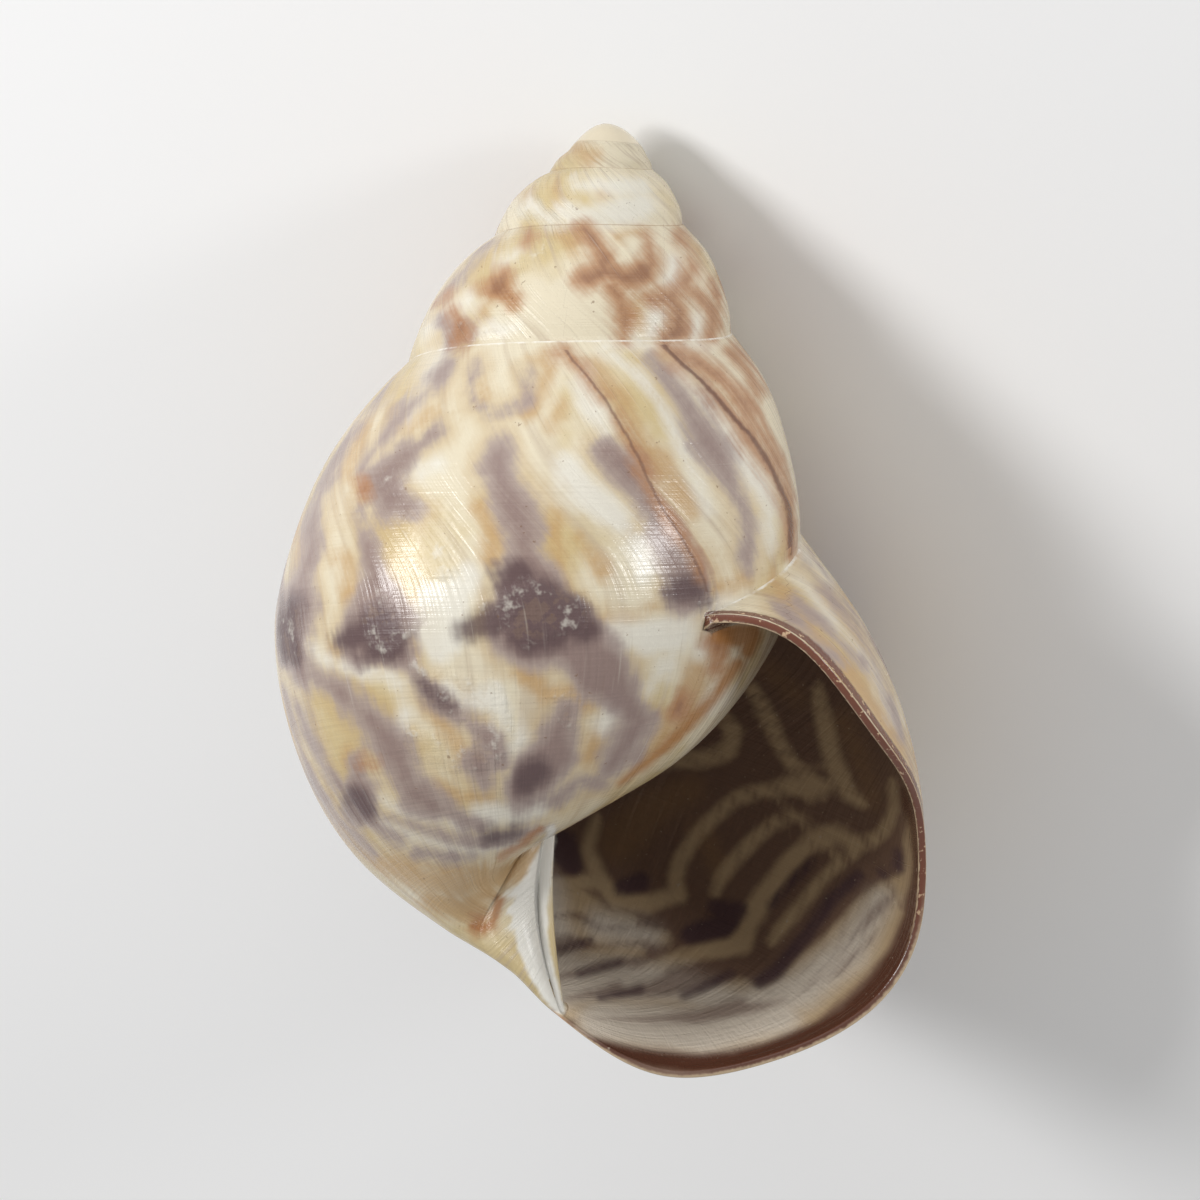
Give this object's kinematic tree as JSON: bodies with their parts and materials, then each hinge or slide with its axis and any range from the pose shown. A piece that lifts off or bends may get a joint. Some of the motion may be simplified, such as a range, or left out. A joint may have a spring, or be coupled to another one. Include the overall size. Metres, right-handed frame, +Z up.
{
  "type": "tree snail shell",
  "caption": "High-spired tree snail shell, coiled to the right, with a thin glossy wall, a wide open aperture and cream, lilac and brown flames.",
  "frame": {"origin": "middle of the shell's box, at the level of the surface that it lies on", "axes": "+Z up, the shell lying on its back with the aperture up; +Y level, towards the tip of the spire; -Y towards the base"},
  "size_m": [0.035, 0.0474, 0.0281],
  "materials": {
    "shell": "glossy"
  },
  "bodies": {
    "root": {"shell": "shell"}
  },
  "joints": []
}
